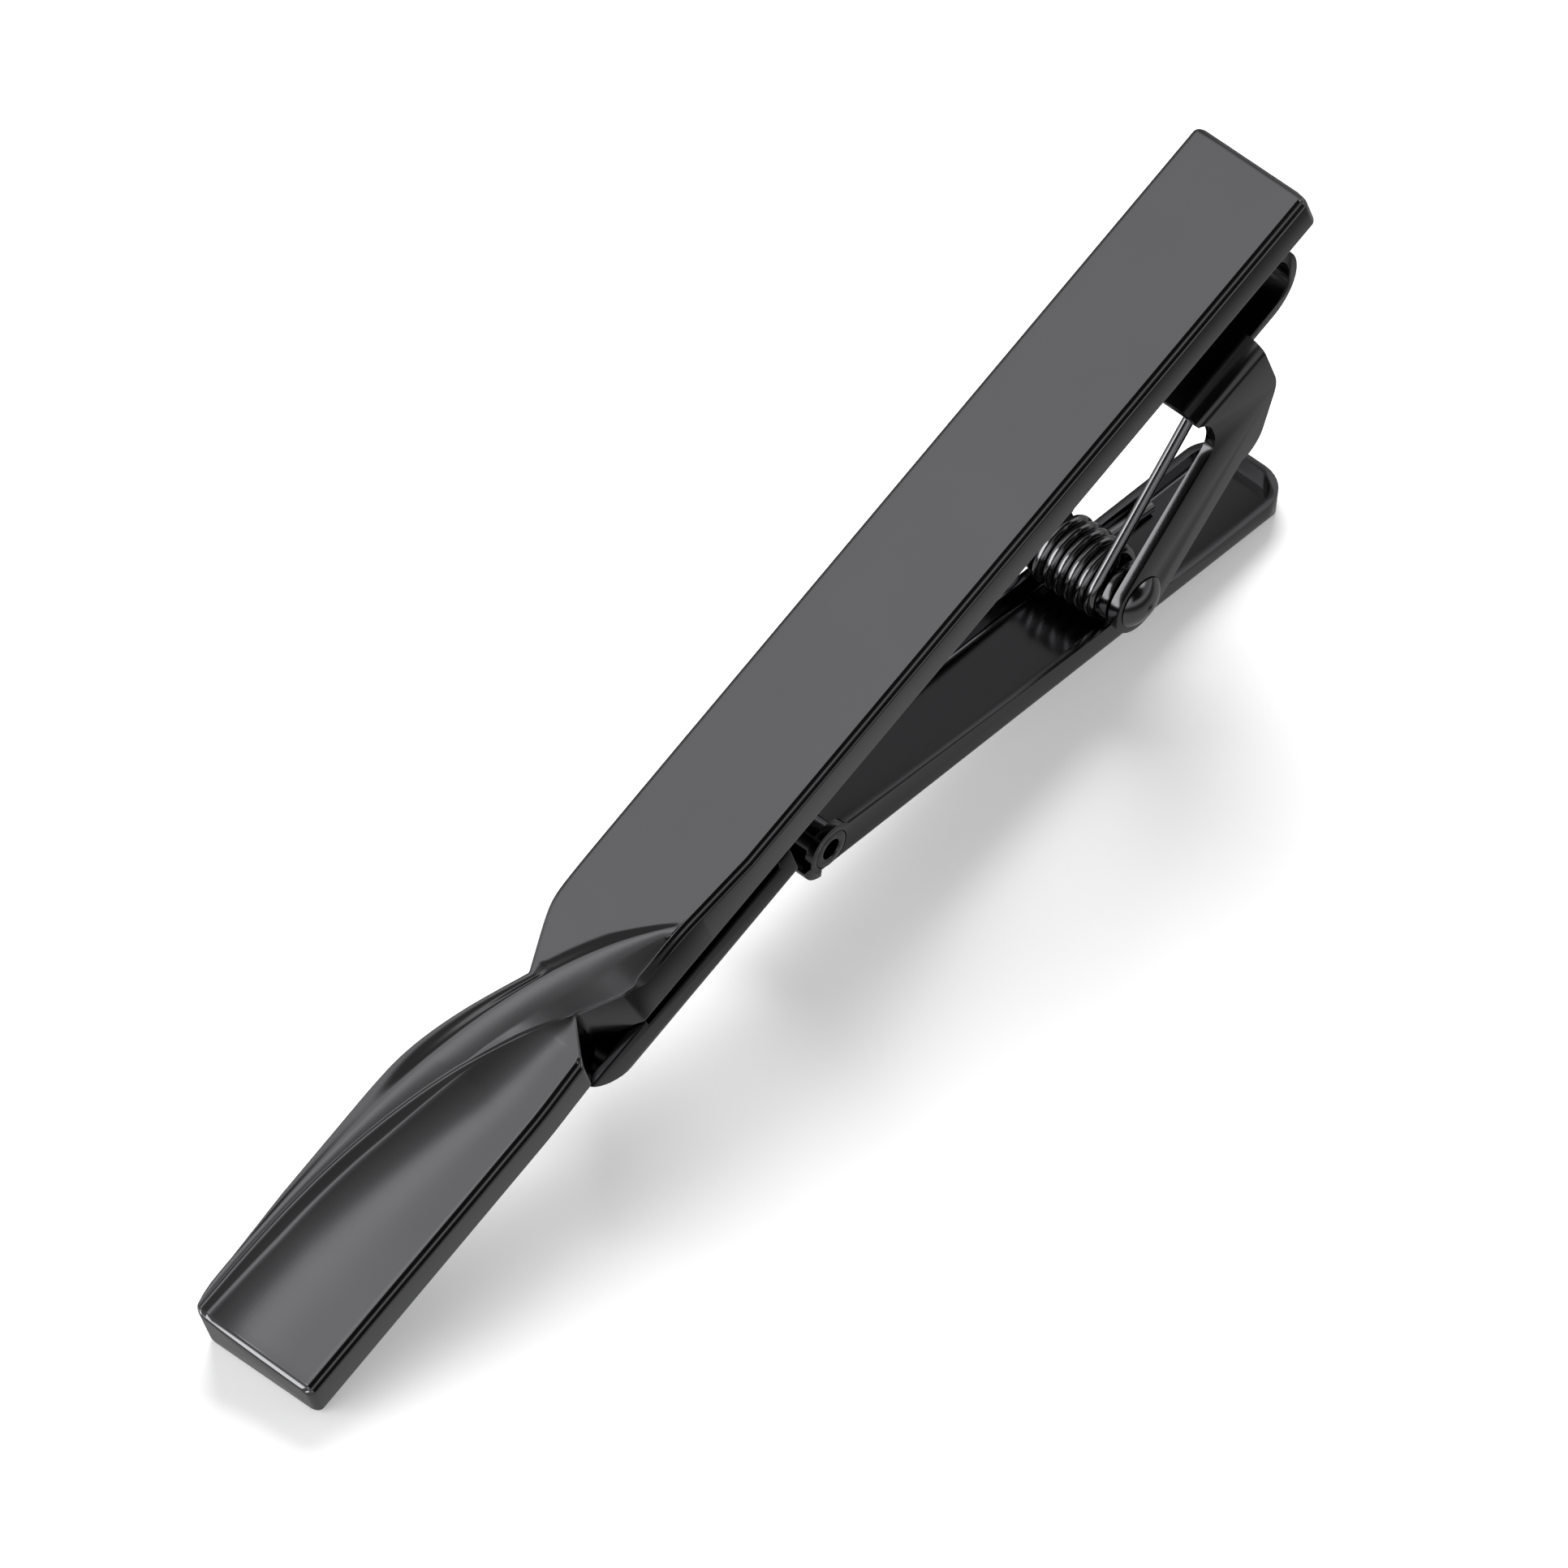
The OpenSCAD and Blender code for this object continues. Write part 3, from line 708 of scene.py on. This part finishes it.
def wire_route(s):
    """Points along the spring's wire, in millimetres: upper leg, close-wound coil, lower leg."""
    hook = Vector((HOOK_X - PIVOT[0], PLATE_Z - s.wire - HOOK_GAP - PIVOT[2]))
    up_length = math.sqrt(hook.length_squared - s.coil**2)
    up = math.atan2(hook.y, hook.x) - math.asin(s.coil / hook.length)
    sink = FLOOR_DEPTH - s.wire - LEG_GAP - s.coil
    down = -math.radians(JAW_TILT) - math.asin(sink / s.leg_down)
    start = up + math.pi / 2
    sweep = 2 * math.pi * s.turns + math.pi - up + down
    length = s.pitch * sweep / (2 * math.pi)
    steps = TURN_STEPS * s.turns
    coil = []
    for i in range(steps + 1):
        angle = start + sweep * i / steps
        x, z = PIVOT[0] + s.coil * math.cos(angle), PIVOT[2] + s.coil * math.sin(angle)
        coil.append(Vector((x, length * (i / steps - 0.5), z)))
    up_way = Vector((math.cos(up), 0, math.sin(up)))
    down_way = Vector((math.cos(down), 0, math.sin(down)))
    upper = [coil[0] + up_way * (up_length * (1 - i / UPPER_STEPS)) for i in range(UPPER_STEPS)]
    lower = [coil[-1] + down_way * (s.leg_down * i / LOWER_STEPS) for i in range(1, LOWER_STEPS + 1)]
    return upper + coil + lower, length


def wire_tree():
    """Geometry nodes that sweep a round wire along the route."""
    tree = bpy.data.node_groups.new("wire along a route", "GeometryNodeTree")
    face = tree.interface
    face.new_socket("Geometry", in_out="INPUT", socket_type="NodeSocketGeometry")
    face.new_socket("Wire Radius", in_out="INPUT", socket_type="NodeSocketFloat")
    face.new_socket("Profile Points", in_out="INPUT", socket_type="NodeSocketInt")
    face.new_socket("Material", in_out="INPUT", socket_type="NodeSocketMaterial")
    face.new_socket("Geometry", in_out="OUTPUT", socket_type="NodeSocketGeometry")
    given = add_node(tree, "NodeGroupInput").outputs
    profile = add_node(
        tree,
        "GeometryNodeCurvePrimitiveCircle",
        {"Resolution": given["Profile Points"], "Radius": given["Wire Radius"]},
    )
    swept = add_node(
        tree,
        "GeometryNodeCurveToMesh",
        {"Curve": given["Geometry"], "Profile Curve": profile.outputs["Curve"]},
        **{"Fill Caps": True},
    )
    solid = add_node(tree, "GeometryNodeRealizeInstances", {"Geometry": swept.outputs["Mesh"]})
    painted = add_node(
        tree,
        "GeometryNodeSetMaterial",
        {"Geometry": solid.outputs["Geometry"], "Material": given["Material"]},
    )
    add_node(tree, "NodeGroupOutput", {"Geometry": painted.outputs["Geometry"]})
    return tree


class TIECLIP_OT_torsion_spring(bpy.types.Operator):
    """Builds the close-wound torsion spring round the pin"""

    bl_idname = "tie_clip.torsion_spring"
    bl_label = "Torsion spring"

    def execute(self, context):
        s = context.scene.tie_clip_spring
        route, length = wire_route(s)
        curve = bpy.data.curves.new("spring route", "CURVE")
        curve.dimensions = "3D"
        line = curve.splines.new("POLY")
        line.points.add(len(route) - 1)
        for point, place in zip(line.points, route):
            point.co = (*(place * MM), 1)
        holder = bpy.data.objects.new("spring route", curve)
        context.collection.objects.link(holder)
        tree = wire_tree()
        modifier = holder.modifiers.new("wire", "NODES")
        modifier.node_group = tree
        values = {
            "Wire Radius": s.wire * MM,
            "Profile Points": s.profile,
            "Material": finish("wire"),
        }
        for item in tree.interface.items_tree:
            if item.in_out == "INPUT" and item.name in values:
                modifier[item.identifier] = values[item.name]
        context.view_layer.update()
        graph = context.evaluated_depsgraph_get()
        mesh = bpy.data.meshes.new_from_object(holder.evaluated_get(graph))
        bpy.data.objects.remove(holder)
        spring = bpy.data.objects.new("torsion_spring_wire", mesh)
        context.collection.objects.link(spring)
        tidy_mesh(spring, SMOOTH_ANGLE)
        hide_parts("torsion_spring")
        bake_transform(spring)
        return {"FINISHED"}


# ---------------------------------------------------------------- stage


def area_light(name, place, target, size, power):
    light = bpy.data.lights.new(name, "AREA")
    light.shape = "RECTANGLE"
    light.size, light.size_y = size
    light.energy = power
    lamp = bpy.data.objects.new(name, light)
    bpy.context.collection.objects.link(lamp)
    lamp.location = place
    lamp.rotation_euler = (Vector(target) - Vector(place)).to_track_quat("-Z", "Y").to_euler()
    lamp.visible_camera = False
    return lamp


def resting_slope():
    """Slope of the table under the clip, which lies on the bar's lower end and the jaw's thumb end."""
    jaw = np.array([v.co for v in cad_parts["jaw"].data.vertices]) / MM
    return np.max(np.arctan2(-jaw[:, 2], jaw[:, 0] - BAR_LOW[0]))


# What the clip mirrors, each laid over the ones before it: the way to its centre, the degrees within
# which it is full and at which it is gone, and its radiance
PANELS = [
    ("ceiling", (0.22, 0.5, 0.84), 6, 28, 0.74),
    ("far dark", (0.45, 0.82, 0.38), 14, 32, 0.12),
    ("scoop dark", (0.3, -0.4, 0.87), 10, 30, 0.12),
    ("front dark", (0.02, -0.93, 0.36), 22, 36, 0.015),
    ("crest strip", (0.05, 0.18, 0.982), 1.5, 4.5, 2.5),
    ("leaf strip", (0.23, 0.19, 0.955), 1.5, 6, 1.15),
    ("rim lamp", (0.62, -0.7, 0.3), 6, 16, 1.5),
    ("left softbox", (-0.3, 0.92, 0.25), 16, 30, 0.8),
    ("near softbox", (-0.65, -0.7, 0.28), 18, 34, 0.8),
    ("end softbox", (0.97, 0.05, 0.25), 14, 28, 0.7),
    ("edge lamp", (-0.69, 0.42, 0.59), 23, 30, 3.5),
]
# The room behind the panels: its radiance below and above the horizon
ROOM_HEIGHTS, ROOM_GLOW = (-0.35, 0.1), (0.36, 0.28)
# Painted reflection of the table's shade, which the sides mirror below them: the distance from the
# clip's middle in millimetres, and the radiance
PAINTED_TABLE_SHADE = [(7, 0.3), (12.5, 0.05), (16, 0.06), (26, 0.5)]
BOARD_REACH, BOARD_DEPTH, FLOOR_GAP = 50, 0.1, 0.02
FLOOR_GLOW, DISC_SIDES = 0.3, 96
KEY_WAY, KEY_DISTANCE, KEY_SIDE, KEY_POWER = (0.74, 0.53, 0.45), 0.35, 0.2, 1.2
# The camera's axes, and where the photo's middle lies from the origin, in millimetres
CAMERA_RIGHT, CAMERA_UP = (0.6268, -0.7547, -0.1939), (0.7475, 0.5121, 0.4231)
CAMERA_SHIFT = (0.727, -0.233)


class TIECLIP_OT_stage(bpy.types.Operator):
    """Builds the pale floor, the soft lights and the camera"""

    bl_idname = "tie_clip.stage"
    bl_label = "Floor, lights and camera"

    def execute(self, context):
        s = context.scene.tie_clip_stage
        scene = context.scene
        slope = resting_slope()
        low_end = Vector((BAR_LOW[0] * MM, 0, -FLOOR_GAP * MM))
        along = Vector((math.cos(slope), 0, -math.sin(slope)))
        middle = low_end + along * (BAR_HIGH[0] - BAR_LOW[0]) / 2 * MM
        across = Vector((0, 1, 0))
        ring = []
        for i in range(DISC_SIDES):
            turn = 2 * math.pi * i / DISC_SIDES
            ring.append(middle + s.floor_radius * (math.cos(turn) * along + math.sin(turn) * across))
        floor = self.disc("pale floor", ring, self.floor_finish(scene))
        floor.visible_glossy = False
        # A glowing sheet just under the floor, seen only in reflections: painted shade of the table,
        # not a lamp
        below = Vector((0, 0, -BOARD_DEPTH * MM))
        board = self.disc("painted table shade", [p + below for p in ring], self.painted_shade_finish())
        board.visible_camera = board.visible_diffuse = board.visible_shadow = False
        board.visible_transmission = False
        self.world(scene)
        self.lights()
        self.camera(scene, s)
        scene.view_settings.view_transform = "Standard"
        return {"FINISHED"}

    def disc(self, name, ring, material):
        mesh = bpy.data.meshes.new(name)
        mesh.from_pydata(ring, [], [tuple(range(len(ring)))])
        piece = bpy.data.objects.new(name, mesh)
        bpy.context.collection.objects.link(piece)
        mesh.materials.append(material)
        return piece

    def painted_shade_finish(self):
        """A painted reflection of the table's shade for the sides of the clip to mirror below: a
        glowing sheet, dim under the clip, dark beside it, then pale.
        """
        material = bpy.data.materials.new("painted table shade")
        material.use_nodes = True
        tree = material.node_tree
        tree.nodes.clear()
        place = add_node(tree, "ShaderNodeTexCoord").outputs["Object"]
        across = add_node(tree, "ShaderNodeSeparateXYZ", {"Vector": place}).outputs["Y"]
        away = add_node(tree, "ShaderNodeMath", {0: across}, operation="ABSOLUTE")
        reach = add_node(
            tree,
            "ShaderNodeMapRange",
            {"Value": away.outputs["Value"]},
            **{"From Max": BOARD_REACH * MM},
        )
        tones = add_node(tree, "ShaderNodeValToRGB", {"Fac": reach.outputs["Result"]})
        tones.color_ramp.interpolation = "EASE"
        while len(tones.color_ramp.elements) < len(PAINTED_TABLE_SHADE):
            tones.color_ramp.elements.new(0.5)
        for element, (distance, radiance) in zip(tones.color_ramp.elements, PAINTED_TABLE_SHADE):
            element.position = distance / BOARD_REACH
            element.color = (radiance, radiance, radiance, 1)
        shader = add_node(tree, "ShaderNodeEmission", {"Color": tones.outputs["Color"]}, Strength=1.0)
        add_node(tree, "ShaderNodeOutputMaterial", {"Surface": shader.outputs["Emission"]})
        return material

    def floor_finish(self, scene):
        """Matt white board, lit a little from below as a light table is."""
        material = bpy.data.materials.new("matt white board")
        material.use_nodes = True
        tree = material.node_tree
        tree.nodes.clear()
        base = linear(scene.tie_clip_finish.floor)
        shader = add_node(tree, "ShaderNodeBsdfPrincipled", Roughness=0.9)
        shader.inputs["Base Color"].default_value = base
        shader.inputs["Emission Color"].default_value = (1, 1, 1, 1)
        shader.inputs["Emission Strength"].default_value = FLOOR_GLOW
        add_node(tree, "ShaderNodeOutputMaterial", {"Surface": shader.outputs["BSDF"]})
        return material

    def world(self, scene):
        """A dim studio for the metal to mirror. Each soft panel covers what is behind it."""
        world = bpy.data.worlds.new("dim studio")
        scene.world = world
        world.use_nodes = True
        tree = world.node_tree
        tree.nodes.clear()
        way = add_node(tree, "ShaderNodeTexCoord").outputs["Generated"]
        height = add_node(tree, "ShaderNodeSeparateXYZ", {"Vector": way}).outputs["Z"]
        room = add_node(
            tree,
            "ShaderNodeMapRange",
            {"Value": height},
            **{
                "From Min": ROOM_HEIGHTS[0],
                "From Max": ROOM_HEIGHTS[1],
                "To Min": ROOM_GLOW[0],
                "To Max": ROOM_GLOW[1],
            },
        )
        glow = room.outputs["Result"]
        for name, centre, core, rim, radiance in PANELS:
            glow = self.panel(tree, way, glow, name, centre, core, rim, radiance)
        studio = add_node(tree, "ShaderNodeBackground", {"Color": glow}, Strength=1.0)
        # The camera itself sees a pale backdrop
        pale = add_node(tree, "ShaderNodeBackground", Color=(1, 1, 1, 1), Strength=1.0)
        seen = add_node(tree, "ShaderNodeLightPath").outputs["Is Camera Ray"]
        sky = add_node(tree, "ShaderNodeMixShader", {"Fac": seen})
        tree.links.new(studio.outputs["Background"], sky.inputs[1])
        tree.links.new(pale.outputs["Background"], sky.inputs[2])
        add_node(tree, "ShaderNodeOutputWorld", {"Surface": sky.outputs["Shader"]})

    def panel(self, tree, way, behind, name, centre, core, rim, radiance):
        """A round soft panel: full within core degrees of its centre, gone at rim degrees."""
        toward = add_node(tree, "ShaderNodeVectorMath", {0: way}, operation="DOT_PRODUCT")
        toward.inputs[1].default_value = Vector(centre).normalized()
        edge = add_node(
            tree,
            "ShaderNodeMapRange",
            {"Value": toward.outputs["Value"]},
            interpolation_type="SMOOTHSTEP",
            **{"From Min": math.cos(math.radians(rim)), "From Max": math.cos(math.radians(core))},
        )
        laid = add_node(
            tree,
            "ShaderNodeMix",
            {"Factor": edge.outputs["Result"], "A": behind},
            data_type="FLOAT",
            label=name,
        )
        laid.inputs["B"].default_value = radiance
        return laid.outputs["Result"]

    def lights(self):
        """A soft key from the top of the picture, which the metal doesn't mirror."""
        place = Vector(KEY_WAY).normalized() * KEY_DISTANCE
        key = area_light("key panel", place, (0, 0, 0), (KEY_SIDE, KEY_SIDE), KEY_POWER)
        key.visible_glossy = False

    def camera(self, scene, s):
        """Looks down on the face from the right, far off, as the photo shows no perspective."""
        right, up = Vector(CAMERA_RIGHT), Vector(CAMERA_UP)
        back = right.cross(up).normalized()
        target = (CAMERA_SHIFT[0] * right + CAMERA_SHIFT[1] * up) * MM
        data = bpy.data.cameras.new("camera")
        data.sensor_width = 36
        data.lens = s.lens
        distance = s.frame_width * s.lens / data.sensor_width
        data.clip_start, data.clip_end = distance / 10, distance * 4
        camera = bpy.data.objects.new("camera", data)
        axes = Matrix((right, back.cross(right), back)).transposed()
        camera.matrix_world = Matrix.Translation(target + back * distance) @ axes.to_4x4()
        bpy.context.collection.objects.link(camera)
        scene.camera = camera


class TIECLIP_PT_panel(bpy.types.Panel):
    """Lists the pieces of the tie clip"""

    bl_idname = "TIECLIP_PT_panel"
    bl_label = "Tie clip"
    bl_space_type = "VIEW_3D"
    bl_region_type = "UI"
    bl_category = "Tie clip"

    def draw(self, context):
        for operator in OPERATORS:
            self.layout.operator(operator.bl_idname)
        for group in SETTINGS:
            settings = getattr(context.scene, group)
            for name in settings.bl_rna.properties.keys():
                if name not in ("rna_type", "name"):
                    self.layout.prop(settings, name)


SETTINGS = {
    "tie_clip_bar": TwistBarSettings,
    "tie_clip_spring": SpringSettings,
    "tie_clip_finish": FinishSettings,
    "tie_clip_stage": StageSettings,
}
OPERATORS = (
    TIECLIP_OT_stage,
    TIECLIP_OT_front_bar,
    TIECLIP_OT_back_strap,
    TIECLIP_OT_spring_bracket,
    TIECLIP_OT_pivot_pin,
    TIECLIP_OT_jaw,
    TIECLIP_OT_torsion_spring,
)


def register():
    for cls in (*SETTINGS.values(), *OPERATORS, TIECLIP_PT_panel):
        bpy.utils.register_class(cls)
    for name, cls in SETTINGS.items():
        setattr(bpy.types.Scene, name, bpy.props.PointerProperty(type=cls))


def unregister():
    for name in SETTINGS:
        delattr(bpy.types.Scene, name)
    for cls in reversed((*SETTINGS.values(), *OPERATORS, TIECLIP_PT_panel)):
        bpy.utils.unregister_class(cls)


def main():
    register()
    for operator in OPERATORS:
        group, call = operator.bl_idname.split(".")
        getattr(getattr(bpy.ops, group), call)()


if __name__ == "__main__":
    main()
